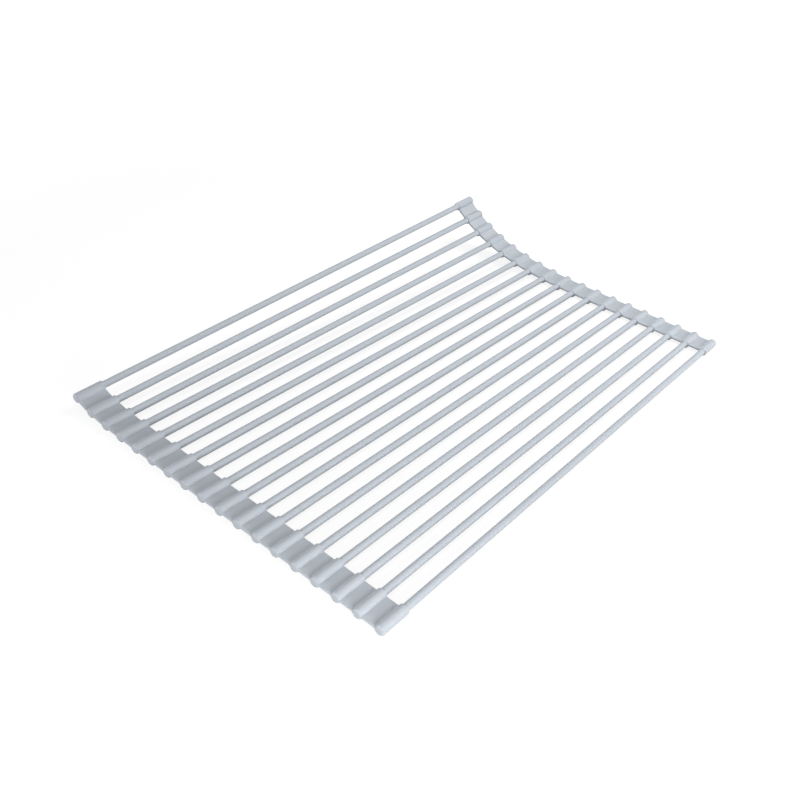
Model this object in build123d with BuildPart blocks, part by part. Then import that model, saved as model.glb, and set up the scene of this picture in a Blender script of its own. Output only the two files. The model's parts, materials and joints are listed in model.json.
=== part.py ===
from build123d import *
from math import sqrt
import os

# Roll-up dish drying rack. X runs along the rods, Y from the front rod to the back rod, Z up.
# The origin is on the counter, under the middle of the rack.
# The rack lies flat at the front, and its back edge curls up, more at the right than at the left.

# Whole rack
rod_count = 18
rod_pitch = 19.05
rack_length = 520.0

# Steel tube inside each rod
steel_diameter = 5.0
steel_wall = 0.7

# Silicone cover along each rod
cover_thickness = 0.5

# End sleeve, a closed tube that the covered rod sits in
sleeve_diameter = 8.4
sleeve_end_wall = 2.0
sleeve_rim_radius = 1.6
sleeve_overhang = 0.8
mouth_round = 0.4

# Flexible web between two sleeves, moulded in one with them
web_thickness = 2.0
web_width = 24.5
web_inset = 0.5

# The web's bend is a smooth curve, whose two inner control points lie this share of the way from
# the root's end to the bend, and it is lofted in straight steps
control_share = 2 / 3
web_steps = 6

# Root of the web on the sleeve, which stays stiff, and its rounded inner corner
root_length = 1.4
inner_corner_radius = 0.3

# Curl of the back edge as the rack lies on the counter: the slope of the back rod's sleeve,
# and how many rods it takes to run out to flat
left_back_roll = 19.0
left_curled_rods = 3
right_back_roll = 41.0
right_curled_rods = 10
curl_power = 2

# Sizes that follow
half_pitch = rod_pitch / 2
cover_diameter = steel_diameter + 2 * cover_thickness
sleeve_radius = sleeve_diameter / 2
root_reach = sleeve_radius + root_length
control_reach = root_reach + control_share * (half_pitch - root_reach)
web_inner_edge = web_inset + web_width
sleeve_length = web_inner_edge + sleeve_overhang
bore_radius = cover_diameter / 2


def strip_chain(back_roll, curled_rods):
    """Slopes and axis places of the 18 sleeves of one strip, from the back rod to the front rod."""
    slopes = [back_roll * max(0, 1 - rod / curled_rods) ** curl_power for rod in range(rod_count)]
    to_back = Vector(0, half_pitch, 0)
    places = [Vector(0, 0, sleeve_radius)]
    for rod in reversed(range(rod_count - 1)):
        bend = places[0] + to_back.rotate(Axis.X, slopes[rod + 1])
        places.insert(0, bend + to_back.rotate(Axis.X, slopes[rod]))
    return slopes, places


left_slopes, left_places = strip_chain(left_back_roll, left_curled_rods)
right_slopes, right_places = strip_chain(right_back_roll, right_curled_rods)
middle_y = max(left_places[0].Y, right_places[0].Y) / 2


def end_planes(rod):
    """Planes on the two outer ends of a rod, with X along the rod to its middle and Z out of the strip."""
    rise = right_places[rod] - left_places[rod]
    half_span = sqrt(rack_length**2 - rise.length**2) / 2
    left_end = left_places[rod] - Vector(half_span, middle_y, 0)
    right_end = right_places[rod] - Vector(-half_span, middle_y, 0)
    along = (right_end - left_end).normalized()
    left_up = along.cross(Vector(0, 1, 0).rotate(Axis.X, left_slopes[rod]))
    right_up = along.cross(Vector(0, 1, 0).rotate(Axis.X, right_slopes[rod]))
    return Plane(left_end, x_dir=along, z_dir=left_up), Plane(right_end, x_dir=-along, z_dir=right_up)


def tube(end_plane, outer_diameter, wall, label):
    """Straight tube along a rod, between the closed ends of its two sleeves."""
    section = Plane(end_plane.origin, x_dir=end_plane.y_dir, z_dir=end_plane.x_dir)
    with BuildPart() as body:
        with BuildSketch(section.offset(sleeve_end_wall)):
            Circle(outer_diameter / 2)
            Circle(outer_diameter / 2 - wall, mode=Mode.SUBTRACT)
        extrude(amount=rack_length - 2 * sleeve_end_wall)
    body.part.label = label
    return body.part


def end_sleeve(end_plane, web_sides, label):
    """Closed sleeve with the roots of its webs, on the sides of Y that are given."""
    profile = Plane(end_plane.origin, x_dir=end_plane.x_dir, z_dir=-end_plane.y_dir)
    with BuildPart() as body:
        with BuildSketch(profile):
            with BuildLine():
                Line((0, 0), (0, sleeve_radius - sleeve_rim_radius))
                RadiusArc(
                    (0, sleeve_radius - sleeve_rim_radius),
                    (sleeve_rim_radius, sleeve_radius),
                    sleeve_rim_radius,
                )
                Line((sleeve_rim_radius, sleeve_radius), (sleeve_length - mouth_round, sleeve_radius))
                RadiusArc(
                    (sleeve_length - mouth_round, sleeve_radius),
                    (sleeve_length, sleeve_radius - mouth_round),
                    mouth_round,
                )
                Polyline(
                    (sleeve_length, sleeve_radius - mouth_round),
                    (sleeve_length, bore_radius),
                    (sleeve_end_wall, bore_radius),
                    (sleeve_end_wall, 0),
                    (0, 0),
                )
            make_face()
        revolve(axis=Axis(end_plane.origin, end_plane.x_dir))
        with BuildSketch(end_plane):
            for side in web_sides:
                with BuildLine():
                    Polyline(
                        (web_inset, side * bore_radius),
                        (web_inset, side * root_reach),
                        (web_inner_edge, side * root_reach),
                        (web_inner_edge, side * (sleeve_radius + inner_corner_radius)),
                    )
                    RadiusArc(
                        (web_inner_edge, side * (sleeve_radius + inner_corner_radius)),
                        (web_inner_edge + inner_corner_radius, side * sleeve_radius),
                        side * inner_corner_radius,
                    )
                    Polyline(
                        (web_inner_edge + inner_corner_radius, side * sleeve_radius),
                        (web_inner_edge + inner_corner_radius, side * bore_radius),
                        (web_inset, side * bore_radius),
                    )
                make_face()
        extrude(amount=web_thickness / 2, both=True)
    body.part.label = label
    return body.part


def web_middle(plane, distance):
    """Middle of the web's section at a distance from the sleeve's axis."""
    return plane.from_local_coords((web_inset + web_width / 2, distance, 0))


def flex_web(back_plane, front_plane, front_side, label):
    """Web between the roots of two sleeves, bent in a smooth curve from one root to the other."""
    with BuildLine() as route:
        Bezier(
            web_middle(back_plane, front_side * root_reach),
            web_middle(back_plane, front_side * control_reach),
            web_middle(front_plane, -front_side * control_reach),
            web_middle(front_plane, -front_side * root_reach),
        )
    with BuildPart() as body:
        for step in range(web_steps + 1):
            share = step / web_steps
            along = back_plane.x_dir * (1 - share) + front_plane.x_dir * share
            with BuildSketch(Plane(route.line @ share, x_dir=along, z_dir=route.line % share)):
                Rectangle(web_width, web_thickness)
        loft(ruled=True)
    body.part.label = label
    return body.part


def write_node(name, pieces):
    """Write one node: a single solid, or a group of separate ones."""
    node = pieces[0] if len(pieces) == 1 else Compound(label=name, children=pieces)
    node.label = name
    export_step(node, f"parts/{name}.step")


os.makedirs("parts", exist_ok=True)
planes = [end_planes(rod) for rod in range(rod_count)]

for rod, (left, right) in enumerate(planes):
    number = f"{rod + 1:02d}"
    write_node(f"steel_rod_{number}", [tube(left, steel_diameter, steel_wall, "steel_tube")])

    # In its own plane the left sleeve has the back of the rack at plus Y, and the right one at minus Y
    has_back_web = rod > 0
    has_front_web = rod < rod_count - 1
    left_sides = [side for side, there in ((1, has_back_web), (-1, has_front_web)) if there]
    right_sides = [-side for side in left_sides]
    cover = tube(left, cover_diameter, cover_thickness, "cover")
    left_sleeve = end_sleeve(left, left_sides, "left_sleeve")
    right_sleeve = end_sleeve(right, right_sides, "right_sleeve")
    write_node(f"silicone_jacket_{number}", [cover, left_sleeve, right_sleeve])

for web in range(rod_count - 1):
    (back_left, back_right), (front_left, front_right) = planes[web], planes[web + 1]
    left_web = flex_web(back_left, front_left, -1, "left_web")
    right_web = flex_web(back_right, front_right, 1, "right_web")
    write_node(f"flex_web_{web + 1:02d}", [left_web, right_web])
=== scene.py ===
import json
from math import cos, pi, radians, sin, sqrt

import bpy
from bpy.props import FloatProperty, FloatVectorProperty, IntProperty, PointerProperty
from mathutils import Matrix, Vector


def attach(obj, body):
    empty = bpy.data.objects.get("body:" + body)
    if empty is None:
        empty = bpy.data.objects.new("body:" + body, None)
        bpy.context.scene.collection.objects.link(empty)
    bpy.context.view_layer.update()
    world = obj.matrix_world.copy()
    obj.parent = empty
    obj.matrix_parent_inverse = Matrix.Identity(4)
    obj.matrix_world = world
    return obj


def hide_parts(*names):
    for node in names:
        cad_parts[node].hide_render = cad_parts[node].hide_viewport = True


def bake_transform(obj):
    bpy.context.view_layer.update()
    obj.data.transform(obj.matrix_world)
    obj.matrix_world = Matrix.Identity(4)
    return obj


bl_info = {
    "name": "Roll-up Drying Rack",
    "version": (1, 0, 0),
    "blender": (4, 5, 0),
    "location": "3D View > Sidebar > Drying Rack",
    "description": "Dresses the packed drying rack in moulded silicone and sets its studio",
    "category": "Object",
}

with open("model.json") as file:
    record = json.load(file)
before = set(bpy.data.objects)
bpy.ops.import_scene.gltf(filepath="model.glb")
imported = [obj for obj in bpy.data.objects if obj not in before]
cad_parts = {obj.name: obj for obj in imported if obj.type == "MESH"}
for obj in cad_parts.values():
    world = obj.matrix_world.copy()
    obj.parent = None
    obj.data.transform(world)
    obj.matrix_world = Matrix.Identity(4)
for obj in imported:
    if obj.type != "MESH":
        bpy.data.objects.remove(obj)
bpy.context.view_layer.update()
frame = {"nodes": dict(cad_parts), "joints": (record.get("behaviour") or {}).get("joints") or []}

MM = 0.001
WELD_DISTANCE = 0.002 * MM
LEFT, RIGHT = "left", "right"
ROD_NAMES = sorted(name[-2:] for name in frame["nodes"] if name.startswith("steel_rod_"))
WEB_NAMES = sorted(name[-2:] for name in frame["nodes"] if name.startswith("flex_web_"))

# Parts of the rack that lamps are aimed at
RACK_MIDDLE, LEFT_PART, RIGHT_PART = (0, 0, 0), (-0.2, -0.1, 0), (0.1, -0.1, 0)

# Each lamp's place, what it is aimed at, its width, and the studio value that holds its power
LAMPS = {
    "top_lamp": ((0.35, 0, 0.7), RIGHT_PART, 0.4, "top_power"),
    "front_left_lamp": ((-0.45, -0.53, 0.15), LEFT_PART, 0.25, "front_left_power"),
    "front_right_lamp": ((0.35, -0.6, 0.15), RIGHT_PART, 0.25, "front_right_power"),
    "side_lamp": ((-2.6, 1.5, 0.64), RACK_MIDDLE, 1.5, "side_power"),
}


def linear(hex_code):
    """Scene-linear red, green and blue of an sRGB hex code."""
    parts = [int(hex_code[i:i + 2], 16) / 255 for i in (0, 2, 4)]
    return [c / 12.92 if c <= 0.04045 else ((c + 0.055) / 1.055) ** 2.4 for c in parts]


class RackSizes(bpy.types.PropertyGroup):
    """Sizes of the moulded silicone, as the frame has them."""

    sleeve_diameter: FloatProperty(
        name="Sleeve diameter", description="Outer diameter of the end sleeves",
        default=8.4 * MM, unit="LENGTH", precision=4)
    sleeve_length: FloatProperty(
        name="Sleeve length", description="Length of a sleeve at its full diameter",
        default=25.8 * MM, unit="LENGTH", precision=4)
    rim_radius: FloatProperty(
        name="Rim radius", description="Rounding of the sleeve's closed end",
        default=1.6 * MM, unit="LENGTH", precision=4)
    mouth_radius: FloatProperty(
        name="Mouth radius", description="Rounding of the sleeve's open end",
        default=0.4 * MM, unit="LENGTH", precision=4)
    cover_diameter: FloatProperty(
        name="Cover diameter", description="Outer diameter of the silicone cover along the rod",
        default=6.0 * MM, unit="LENGTH", precision=4)
    rod_pitch: FloatProperty(
        name="Rod pitch", description="Distance between two rods, measured along the flat strip",
        default=19.05 * MM, unit="LENGTH", precision=4)
    web_inset: FloatProperty(
        name="Web inset", description="Distance of the web's outer edge from the sleeve's end",
        default=0.5 * MM, unit="LENGTH", precision=4)
    web_width: FloatProperty(
        name="Web width", description="Width of the web along the rods",
        default=24.5 * MM, unit="LENGTH", precision=4)
    web_thickness: FloatProperty(
        name="Web thickness", description="Thickness of the web",
        default=2.0 * MM, unit="LENGTH", precision=4)
    web_edge_radius: FloatProperty(
        name="Web edge radius", description="Rounding of the web's long edges",
        default=0.3 * MM, unit="LENGTH", precision=4)
    root_fillet: FloatProperty(
        name="Root fillet", description="Rounding between the web's faces and the sleeve",
        default=0.3 * MM, unit="LENGTH", precision=4)
    inner_fillet: FloatProperty(
        name="Inner corner fillet", description="Rounding between the web's inner edge and the sleeve",
        default=0.3 * MM, unit="LENGTH", precision=4)
    root_length: FloatProperty(
        name="Root length", description="Length of the web's stiff root, from the sleeve's side",
        default=1.4 * MM, unit="LENGTH", precision=4)
    round_steps: IntProperty(
        name="Round steps", description="Sides of the sleeves and covers", default=48, min=12)


class RackColours(bpy.types.PropertyGroup):
    """Colours of the rack's two materials and of the paper under it."""

    silicone: FloatVectorProperty(
        name="Silicone", description="Light cool grey of the moulded silicone",
        subtype="COLOR", default=linear("C2C8CF"))
    silicone_deep: FloatVectorProperty(
        name="Silicone, deeper", description="The same grey where the pigment lies a little denser",
        subtype="COLOR", default=linear("B9C0C8"))
    steel: FloatVectorProperty(
        name="Steel", description="Drawn stainless tube inside the covers",
        subtype="COLOR", default=linear("B9B8B5"))
    paper: FloatVectorProperty(
        name="Paper", description="Grey of the floor's paper in the light that it throws back",
        subtype="COLOR", default=linear("7C7C7C"))


class RackStudio(bpy.types.PropertyGroup):
    """Camera and lamps."""

    camera_place: FloatVectorProperty(
        name="Camera place", description="Where the camera stands", subtype="XYZ", unit="LENGTH",
        default=(-570.1 * MM, -377.1 * MM, 451.5 * MM))
    camera_azimuth: FloatProperty(
        name="Camera azimuth", description="Heading of the camera, from +Y towards +X",
        default=radians(54.43), unit="ROTATION")
    camera_elevation: FloatProperty(
        name="Camera elevation", description="How far the camera looks down",
        default=radians(35.33), unit="ROTATION")
    camera_roll: FloatProperty(
        name="Camera roll", description="Turn of the camera about its own axis, right side up",
        default=radians(7.29), unit="ROTATION")
    focal_length: FloatProperty(
        name="Focal length", description="Lens, in millimetres on a 36 mm sensor", default=40.39)
    top_power: FloatProperty(
        name="Top lamp", description="Power of the lamp over the right end, in watts", default=3.28)
    front_left_power: FloatProperty(
        name="Front left lamp", description="Power of the low lamp at the front left, in watts",
        default=2.29)
    front_right_power: FloatProperty(
        name="Front right lamp", description="Power of the low lamp at the front right, in watts",
        default=1.87)
    side_power: FloatProperty(
        name="Side lamp", description="Power of the large low lamp at the back left, in watts",
        default=56.0)
    fill_strength: FloatProperty(
        name="Room light", description="Strength of the even light from all round", default=0.125)
    floor_glow: FloatProperty(
        name="Floor glow", description="How white the floor is seen in full shadow", default=0.88)


def sizes():
    return bpy.context.scene.rack_sizes


def colours():
    return bpy.context.scene.rack_colours


def studio():
    return bpy.context.scene.rack_studio


# Places, read from the frame

def ring_middle(points):
    """Middle of the box round some points."""
    return Vector([(min(axis) + max(axis)) / 2 for axis in zip(*points)])


def rod_ends(rod):
    """Left and right end of a rod's steel tube, on its axis."""
    points = [v.co for v in frame["nodes"]["steel_rod_" + rod].data.vertices]
    return ring_middle([p for p in points if p.x < 0]), ring_middle([p for p in points if p.x > 0])


def jacket_ends(rod):
    """Left and right end of a rod's silicone, on its axis."""
    left, right = rod_ends(rod)
    along = (right - left).normalized()
    points = [v.co for v in frame["nodes"]["silicone_jacket_" + rod].data.vertices]
    reach = [(p - left).dot(along) for p in points]
    return left + min(reach) * along, left + max(reach) * along


def web_middle(web, end, along):
    """Where the hinge line of a web crosses the plane across the rod through the web's middle."""
    size = sizes()
    joint = next(j for j in frame["joints"] if j["name"] == "web_hinge_" + web)
    start, line = Vector(joint["pos_m"]), Vector(joint["axis"])
    across = end + (size.web_inset + size.web_width / 2) * along
    return start + line * ((across - start).dot(along) / line.dot(along))


def sleeve_frames(rod):
    """Matrices of a rod's left and right sleeve.

    X runs inwards along the rod, Z points out of the strip, and the origin is on the sleeve's outer end.
    """
    size = sizes()
    ends = jacket_ends(rod)
    has_front_web = rod in WEB_NAMES
    web = rod if has_front_web else WEB_NAMES[-1]
    frames = {}
    for side, end, other in ((LEFT, ends[0], ends[1]), (RIGHT, ends[1], ends[0])):
        x_axis = (other - end).normalized()
        middle = web_middle(web, end, x_axis) - end
        middle -= middle.dot(x_axis) * x_axis
        front_is_plus = side == RIGHT
        y_axis = middle.normalized() if front_is_plus == has_front_web else -middle.normalized()
        z_axis = x_axis.cross(y_axis)
        columns = Matrix((x_axis, y_axis, z_axis)).transposed()
        frames[side] = Matrix.Translation(end) @ columns.to_4x4()
    return frames


# Modelling helpers

def start_fresh():
    """Leave edit mode and deselect everything."""
    if bpy.context.object and bpy.context.object.mode != "OBJECT":
        bpy.ops.object.mode_set(mode="OBJECT")
    bpy.ops.object.select_all(action="DESELECT")


def cut_across(axis, places):
    """Cut the mesh in edit mode across one axis at each place, keeping both sides."""
    normal = [float(i == axis) for i in range(3)]
    for place in places:
        point = [place * n for n in normal]
        bpy.ops.mesh.select_all(action="SELECT")
        bpy.ops.mesh.bisect(plane_co=point, plane_no=normal, threshold=WELD_DISTANCE)


def finish_mesh(obj, crease):
    """Merge doubles, point the faces outwards and smooth all edges that bend by less than the crease."""
    bpy.ops.object.mode_set(mode="EDIT")
    bpy.ops.mesh.select_all(action="SELECT")
    bpy.ops.mesh.remove_doubles(threshold=WELD_DISTANCE)
    bpy.ops.mesh.normals_make_consistent(inside=False)
    bpy.ops.object.mode_set(mode="OBJECT")
    bpy.ops.object.select_all(action="DESELECT")
    obj.select_set(True)
    bpy.context.view_layer.objects.active = obj
    bpy.ops.object.shade_smooth_by_angle(angle=crease)


def copy_piece(pattern, name, place):
    """A copy of a pattern piece with its own mesh, each point moved by place, a function of the point."""
    piece = bpy.data.objects.new(name, pattern.data.copy())
    piece.data.name = name
    for vertex in piece.data.vertices:
        vertex.co = place(vertex.co)
    bpy.context.scene.collection.objects.link(piece)
    return piece


# Silicone jackets

def arc(middle_x, middle_r, radius, start, stop, steps):
    """Points (x, r) on a round, from the start to the stop angle in degrees."""
    turns = [radians(start + (stop - start) * i / steps) for i in range(steps + 1)]
    return [(middle_x + radius * cos(t), middle_r + radius * sin(t)) for t in turns]


def end_profile():
    """Points (x, r) of one end of a jacket, from its rim past the mouth to the cover."""
    size = sizes()
    full = size.sleeve_diameter / 2
    cover = size.cover_diameter / 2
    rim, mouth = size.rim_radius, size.mouth_radius
    rim_steps, mouth_steps = 6, 5
    # The mouth's flat face leans by this much, so that both of its edges get a cut of their own
    lean = 0.03 * MM
    points = arc(rim, full - rim, rim, 180, 90, rim_steps)
    points += arc(size.sleeve_length - mouth, full - mouth, mouth, 90, 0, mouth_steps)
    points.append((size.sleeve_length + lean, cover))
    return points


def radius_at(x, profile):
    """Radius of the jacket at a place along it."""
    for (x0, r0), (x1, r1) in zip(profile, profile[1:]):
        if x <= x1:
            return r0 + (r1 - r0) * max(0, x - x0) / (x1 - x0)
    return profile[-1][1]


def jacket_pattern(length):
    """Jacket of one rod, straight along X from the origin: sleeves and cover in one skin."""
    size = sizes()
    profile = end_profile()
    start_fresh()
    bpy.ops.mesh.primitive_cylinder_add(
        vertices=size.round_steps, radius=size.sleeve_diameter / 2, depth=length, end_fill_type="TRIFAN",
        location=(length / 2, 0, 0), rotation=(0, pi / 2, 0))
    jacket = bpy.context.object
    bpy.ops.object.transform_apply(location=True, rotation=True, scale=True)
    bpy.ops.object.mode_set(mode="EDIT")
    places = [x for x, r in profile if x > 0]
    cut_across(0, places + [length - x for x in places])
    bpy.ops.object.mode_set(mode="OBJECT")
    full = size.sleeve_diameter / 2
    for vertex in jacket.data.vertices:
        from_end = min(vertex.co.x, length - vertex.co.x)
        scale = radius_at(from_end, profile) / full
        vertex.co.y *= scale
        vertex.co.z *= scale
    finish_mesh(jacket, crease=radians(40))
    return jacket


def add_jacket(rod, pattern, length):
    """Jacket on its rod, turned at each end as that end's sleeve is."""
    frames = sleeve_frames(rod)
    left, right = frames[LEFT], frames[RIGHT]
    origin, along = left.translation, left.col[0].xyz
    y_axis, z_axis = left.col[1].xyz, left.col[2].xyz
    # The right sleeve's Y, turned to the left sleeve's side, gives the twist from end to end
    right_y = -right.col[1].xyz
    twist = y_axis.angle(right_y) * (1 if y_axis.cross(right_y).dot(along) > 0 else -1)
    stretch = (right.translation - origin).length / length
    grip = sizes().sleeve_length

    def place(point):
        share = min(1, max(0, (point.x - grip) / (length - 2 * grip)))
        turn = twist * share
        y = point.y * cos(turn) - point.z * sin(turn)
        z = point.y * sin(turn) + point.z * cos(turn)
        return origin + along * point.x * stretch + y_axis * y + z_axis * z

    jacket = copy_piece(pattern, "jacket_" + rod, place)
    jacket.data.materials.clear()
    jacket.data.materials.append(silicone_material())
    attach(jacket, "rod_" + rod)
    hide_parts("silicone_jacket_" + rod)


# Flexible webs

def web_section(depth):
    """Inner edge, low face and high face of a web's section at a distance from the sleeve's axis."""
    size = sizes()
    full = size.sleeve_diameter / 2
    inner = size.web_inset + size.web_width
    fillet = size.inner_fillet
    if depth < full + fillet:
        run = min(fillet, full + fillet - depth)
        inner += fillet - sqrt(fillet**2 - run**2)
    low, high = -size.web_thickness / 2, size.web_thickness / 2
    return inner, flared(low, -1, depth), flared(high, 1, depth)


def flared(height, way, depth):
    """Height of a web's face near the sleeve, where a fillet lifts it onto the sleeve's round side."""
    size = sizes()
    full, fillet = size.sleeve_diameter / 2, size.root_fillet
    middle_z = height + way * fillet
    middle_depth = sqrt((full + fillet) ** 2 - middle_z**2)
    touch = middle_depth * full / (full + fillet)
    run = middle_depth - max(depth, touch)
    if run <= 0:
        return height
    return middle_z - way * sqrt(fillet**2 - run**2)


def web_depths():
    """Distances of a web's sections from the sleeve's axis, from inside the sleeve to half-way."""
    size = sizes()
    full, half = size.sleeve_diameter / 2, size.rod_pitch / 2
    overlap = 1.0 * MM
    root_steps, free_steps = 12, 6
    inside = full - overlap
    root_end = full + size.root_length
    root = [inside + (root_end - inside) * i / root_steps for i in range(root_steps + 1)]
    free = [root_end + (half - root_end) * (i + 1) / free_steps for i in range(free_steps)]
    return root + free


def web_pattern():
    """Flat web between two sleeves, X along the rods and Y from the front sleeve to the back one."""
    size = sizes()
    depths = web_depths()
    half = size.rod_pitch / 2
    middle_x = size.web_inset + size.web_width / 2
    edge_segments = 4
    start_fresh()
    bpy.ops.mesh.primitive_cube_add(size=1)
    web = bpy.context.object
    web.scale = (size.web_width, 2 * (half - depths[0]), size.web_thickness)
    web.location = (middle_x, 0, 0)
    bpy.ops.object.transform_apply(location=True, rotation=True, scale=True)
    bpy.ops.object.mode_set(mode="EDIT")
    bpy.ops.mesh.select_all(action="DESELECT")
    bpy.ops.object.mode_set(mode="OBJECT")
    for edge in web.data.edges:
        first, second = [web.data.vertices[i].co for i in edge.vertices]
        edge.select = abs(first.y - second.y) > half
    bpy.ops.object.mode_set(mode="EDIT")
    bpy.ops.mesh.select_mode(type="EDGE")
    bpy.ops.mesh.bevel(offset=size.web_edge_radius, segments=edge_segments)
    places = [half - d for d in depths[1:]]
    cut_across(1, [0] + [s * p for p in places[:-1] for s in (1, -1)])
    bpy.ops.object.mode_set(mode="OBJECT")
    for vertex in web.data.vertices:
        inner, low, high = web_section(half - abs(vertex.co.y))
        # The rounded corners keep their size, and the flats between them stretch
        if vertex.co.x > middle_x:
            vertex.co.x += inner - size.web_inset - size.web_width
        above = vertex.co.z > 0
        vertex.co.z += high - size.web_thickness / 2 if above else low + size.web_thickness / 2
    finish_mesh(web, crease=radians(50))
    return web


def add_web(web, side, pattern, frames):
    """Web on its two sleeves, bent in a smooth curve from one to the other."""
    size = sizes()
    half = size.rod_pitch / 2
    root_end = size.sleeve_diameter / 2 + size.root_length
    rod_behind, rod_before = web, ROD_NAMES[ROD_NAMES.index(web) + 1]
    behind, before = frames[rod_behind][side], frames[rod_before][side]
    way = 1 if side == LEFT else -1
    free = half - root_end
    front_root = before @ Vector((0, way * root_end, 0))
    back_root = behind @ Vector((0, -way * root_end, 0))

    def place(point):
        # Y is -half at the front sleeve's axis and half at the back one's
        if point.y <= -free:
            return before @ Vector((point.x, way * (point.y + half), point.z))
        if point.y >= free:
            return behind @ Vector((point.x, way * (point.y - half), point.z))
        share = (point.y + free) / (2 * free)
        x_axis = before.col[0].xyz.lerp(behind.col[0].xyz, share)
        start = front_root + before.col[0].xyz * point.x
        end = back_root + behind.col[0].xyz * point.x
        start_way, end_way = way * before.col[1].xyz, way * behind.col[1].xyz
        reach = (end - start).length
        # Cubic from root to root, with the web's direction at each end
        h = share
        line = ((2 * h**3 - 3 * h**2 + 1) * start + (h**3 - 2 * h**2 + h) * reach * start_way
                + (3 * h**2 - 2 * h**3) * end + (h**3 - h**2) * reach * end_way)
        slope = ((6 * h**2 - 6 * h) * start + (3 * h**2 - 4 * h + 1) * reach * start_way
                 + (6 * h - 6 * h**2) * end + (3 * h**2 - 2 * h) * reach * end_way)
        normal = x_axis.cross(way * slope).normalized()
        return line + normal * point.z

    piece = copy_piece(pattern, f"web_{side}_{web}", place)
    piece.data.materials.clear()
    piece.data.materials.append(silicone_material())
    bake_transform(piece)
    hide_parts("flex_web_" + web)


# Materials

def add_node(tree, kind, links=(), **settings):
    """Node with input values or properties set by name, and links given as (input, output socket)."""
    node = tree.nodes.new(kind)
    for name, value in settings.items():
        if name in node.inputs:
            node.inputs[name].default_value = value
        else:
            setattr(node, name, value)
    for name, socket in links:
        tree.links.new(node.inputs[name], socket)
    return node


def new_material(name):
    """Empty material and its node tree."""
    material = bpy.data.materials.new(name)
    material.use_nodes = True
    material.node_tree.nodes.clear()
    return material, material.node_tree


def silicone_material():
    """Liquid silicone rubber, moulded in a spark-eroded tool: an even satin grey with a fine grain."""
    name = "moulded_silicone"
    if name in bpy.data.materials:
        return bpy.data.materials[name]
    material, tree = new_material(name)
    colour = colours()
    place = add_node(tree, "ShaderNodeTexCoord").outputs["Object"]
    # The pigment lies in clouds, and so does the last bit of gloss
    cloud_width, smoothest, roughest = 12 * MM, 0.5, 0.6
    clouds = add_node(tree, "ShaderNodeTexNoise", [("Vector", place)], Scale=1 / cloud_width, Detail=3.0)
    tint = add_node(tree, "ShaderNodeMix", [("Factor", clouds.outputs["Fac"])], data_type="RGBA")
    tint.inputs["A"].default_value = (*colour.silicone_deep, 1)
    tint.inputs["B"].default_value = (*colour.silicone, 1)
    shine = add_node(tree, "ShaderNodeMapRange", [("Value", clouds.outputs["Fac"])])
    shine.inputs["To Min"].default_value = smoothest
    shine.inputs["To Max"].default_value = roughest
    # The tool's eroded grain is about 0.1 mm; it is drawn at 0.5 mm so that it shows
    grain_width, grain_depth = 0.5 * MM, 0.03 * MM
    grain = add_node(tree, "ShaderNodeTexNoise", [("Vector", place)], Scale=1 / grain_width, Detail=2.0)
    bump = add_node(
        tree, "ShaderNodeBump", [("Height", grain.outputs["Fac"])], Strength=0.25, Distance=grain_depth)
    shader = add_node(
        tree, "ShaderNodeBsdfPrincipled",
        [("Base Color", tint.outputs["Result"]), ("Roughness", shine.outputs["Result"]),
         ("Normal", bump.outputs["Normal"])],
        IOR=1.41)
    add_node(tree, "ShaderNodeOutputMaterial", [("Surface", shader.outputs["BSDF"])])
    return material


def steel_material():
    """Drawn stainless tube: fine lines along the rod, from the die."""
    material, tree = new_material("drawn_stainless_tube")
    place = add_node(tree, "ShaderNodeTexCoord").outputs["Object"]
    # The die leaves long lines, a fraction of a millimetre apart
    line_length, line_gap, line_depth = 40 * MM, 0.2 * MM, 0.01 * MM
    stretch = add_node(
        tree, "ShaderNodeMapping", [("Vector", place)],
        Scale=(1 / line_length, 1 / line_gap, 1 / line_gap))
    lines = add_node(
        tree, "ShaderNodeTexNoise", [("Vector", stretch.outputs["Vector"])], Scale=1.0, Detail=2.0)
    bump = add_node(
        tree, "ShaderNodeBump", [("Height", lines.outputs["Fac"])], Strength=0.3, Distance=line_depth)
    shader = add_node(
        tree, "ShaderNodeBsdfPrincipled", [("Normal", bump.outputs["Normal"])],
        Metallic=1.0, Roughness=0.32)
    shader.inputs["Base Color"].default_value = (*colours().steel, 1)
    add_node(tree, "ShaderNodeOutputMaterial", [("Surface", shader.outputs["BSDF"])])
    return material


# Studio

def seen_directly(tree):
    """1 for rays that show the background itself: camera, glossy and transmission rays."""
    path = add_node(tree, "ShaderNodeLightPath")
    first = add_node(
        tree, "ShaderNodeMath",
        [(0, path.outputs["Is Camera Ray"]), (1, path.outputs["Is Glossy Ray"])], operation="MAXIMUM")
    return add_node(
        tree, "ShaderNodeMath",
        [(0, first.outputs[0]), (1, path.outputs["Is Transmission Ray"])], operation="MAXIMUM").outputs[0]


def make_world():
    """Even light from all round, and plain white where it is seen."""
    world = bpy.data.worlds.new("studio_air")
    bpy.context.scene.world = world
    world.use_nodes = True
    tree = world.node_tree
    tree.nodes.clear()
    light = add_node(tree, "ShaderNodeBackground", Strength=studio().fill_strength)
    light.inputs["Color"].default_value = (1, 1, 1, 1)
    white = add_node(tree, "ShaderNodeBackground", Strength=1.0)
    white.inputs["Color"].default_value = (1, 1, 1, 1)
    mix = add_node(
        tree, "ShaderNodeMixShader",
        [(0, seen_directly(tree)), (1, light.outputs[0]), (2, white.outputs[0])])
    add_node(tree, "ShaderNodeOutputWorld", [("Surface", mix.outputs[0])])


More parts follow.
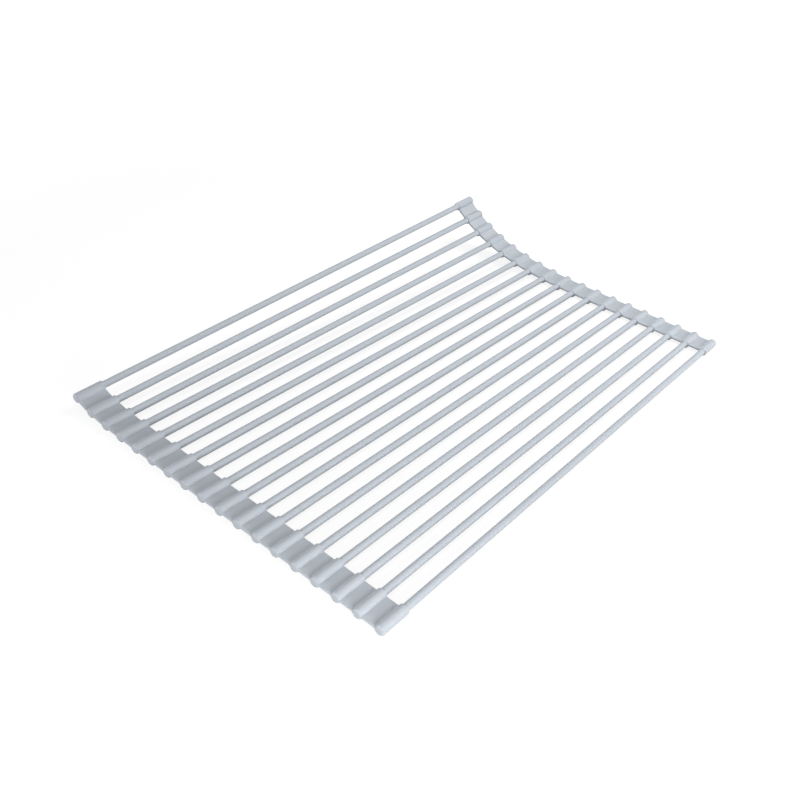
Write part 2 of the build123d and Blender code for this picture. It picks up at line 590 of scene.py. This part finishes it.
def make_floor():
    """Paper sheet under the rack, seen as white but for the faint shadow that it keeps."""
    floor_width, shadow_reach, white_reach = 6.0, 0.45, 0.9
    start_fresh()
    bpy.ops.mesh.primitive_plane_add(size=floor_width, location=(0, 0, 0))
    floor = bpy.context.object
    floor.name = "studio_floor"
    material, tree = new_material("studio_paper")
    paper = add_node(tree, "ShaderNodeBsdfDiffuse")
    paper.inputs["Color"].default_value = (*colours().paper, 1)
    place = add_node(tree, "ShaderNodeTexCoord").outputs["Object"]
    distance = add_node(tree, "ShaderNodeVectorMath", [(0, place)], operation="LENGTH")
    white = add_node(
        tree, "ShaderNodeMapRange", [("Value", distance.outputs["Value"])],
        interpolation_type="SMOOTHSTEP")
    white.inputs["From Min"].default_value = shadow_reach
    white.inputs["From Max"].default_value = white_reach
    white.inputs["To Min"].default_value = studio().floor_glow
    white.inputs["To Max"].default_value = 1.0
    glow = add_node(tree, "ShaderNodeEmission", [("Strength", white.outputs["Result"])])
    glow.inputs["Color"].default_value = (1, 1, 1, 1)
    lit = add_node(tree, "ShaderNodeAddShader", [(0, paper.outputs[0]), (1, glow.outputs[0])])
    mix = add_node(
        tree, "ShaderNodeMixShader",
        [(0, seen_directly(tree)), (1, paper.outputs[0]), (2, lit.outputs[0])])
    add_node(tree, "ShaderNodeOutputMaterial", [("Surface", mix.outputs[0])])
    floor.data.materials.append(material)


def make_lamp(name):
    """Square soft lamp at its place, pointed at its part of the rack."""
    place, target, width, power = LAMPS[name]
    lamp = bpy.data.lights.new(name, "AREA")
    lamp.size = width
    lamp.energy = getattr(studio(), power)
    holder = bpy.data.objects.new(name, lamp)
    holder.location = place
    holder.rotation_euler = (Vector(target) - Vector(place)).to_track_quat("-Z", "Y").to_euler()
    bpy.context.scene.collection.objects.link(holder)


def make_camera():
    """Camera at the photograph's place and angle."""
    view = studio()
    sensor_width, nearest, farthest = 36, 0.01, 20
    azimuth, elevation, roll = view.camera_azimuth, view.camera_elevation, view.camera_roll
    forward = Vector((cos(elevation) * sin(azimuth), cos(elevation) * cos(azimuth), -sin(elevation)))
    level = Vector((cos(azimuth), -sin(azimuth), 0))
    upright = level.cross(forward)
    right = cos(roll) * level + sin(roll) * upright
    up = cos(roll) * upright - sin(roll) * level
    turn = Matrix((right, up, -forward)).transposed().to_4x4()
    camera = bpy.data.objects.new("camera", bpy.data.cameras.new("camera"))
    camera.matrix_world = Matrix.Translation(view.camera_place) @ turn
    camera.data.lens = view.focal_length
    camera.data.sensor_width = sensor_width
    camera.data.clip_start, camera.data.clip_end = nearest, farthest
    bpy.context.scene.collection.objects.link(camera)
    bpy.context.scene.camera = camera


# Operators

class RACK_OT_add_jackets(bpy.types.Operator):
    """Model the silicone on each rod: two end sleeves, and the cover between them"""

    bl_idname = "rack.add_jackets"
    bl_label = "Silicone Jackets"

    def execute(self, context):
        left, right = jacket_ends(ROD_NAMES[-1])
        length = (right - left).length
        pattern = jacket_pattern(length)
        for rod in ROD_NAMES:
            add_jacket(rod, pattern, length)
        bpy.data.objects.remove(pattern)
        return {"FINISHED"}


class RACK_OT_add_webs(bpy.types.Operator):
    """Model the thin webs that join the sleeves and bend when the rack is rolled up"""

    bl_idname = "rack.add_webs"
    bl_label = "Flexible Webs"

    def execute(self, context):
        pattern = web_pattern()
        frames = {rod: sleeve_frames(rod) for rod in ROD_NAMES}
        for web in WEB_NAMES:
            for side in (LEFT, RIGHT):
                add_web(web, side, pattern, frames)
        bpy.data.objects.remove(pattern)
        return {"FINISHED"}


class RACK_OT_finish_rods(bpy.types.Operator):
    """Give the steel tubes inside the covers their drawn finish"""

    bl_idname = "rack.finish_rods"
    bl_label = "Steel Rods"

    def execute(self, context):
        material = steel_material()
        for rod in ROD_NAMES:
            tube = frame["nodes"]["steel_rod_" + rod]
            tube.data.materials.clear()
            tube.data.materials.append(material)
        return {"FINISHED"}


class RACK_OT_set_studio(bpy.types.Operator):
    """Set the pale floor, the soft lamps and the camera"""

    bl_idname = "rack.set_studio"
    bl_label = "Studio"

    def execute(self, context):
        context.scene.view_settings.view_transform = "Standard"
        make_world()
        make_floor()
        for name in LAMPS:
            make_lamp(name)
        make_camera()
        return {"FINISHED"}


class RACK_PT_sidebar(bpy.types.Panel):
    """Sidebar panel with the rack's pieces, colours and studio"""

    bl_idname = "RACK_PT_sidebar"
    bl_label = "Drying Rack"
    bl_space_type = "VIEW_3D"
    bl_region_type = "UI"
    bl_category = "Drying Rack"

    def draw(self, context):
        layout = self.layout
        for operator in OPERATORS:
            layout.operator(operator.bl_idname)
        for group in (sizes(), colours(), studio()):
            box = layout.box()
            for name in group.bl_rna.properties.keys():
                if name not in ("rna_type", "name"):
                    box.prop(group, name)


OPERATORS = (RACK_OT_add_jackets, RACK_OT_add_webs, RACK_OT_finish_rods, RACK_OT_set_studio)
CLASSES = (RackSizes, RackColours, RackStudio, *OPERATORS, RACK_PT_sidebar)


def register():
    for cls in CLASSES:
        bpy.utils.register_class(cls)
    bpy.types.Scene.rack_sizes = PointerProperty(type=RackSizes)
    bpy.types.Scene.rack_colours = PointerProperty(type=RackColours)
    bpy.types.Scene.rack_studio = PointerProperty(type=RackStudio)


def unregister():
    del bpy.types.Scene.rack_sizes
    del bpy.types.Scene.rack_colours
    del bpy.types.Scene.rack_studio
    for cls in reversed(CLASSES):
        bpy.utils.unregister_class(cls)


def main():
    register()
    bpy.ops.rack.add_jackets()
    bpy.ops.rack.add_webs()
    bpy.ops.rack.finish_rods()
    bpy.ops.rack.set_studio()


if __name__ == "__main__":
    main()
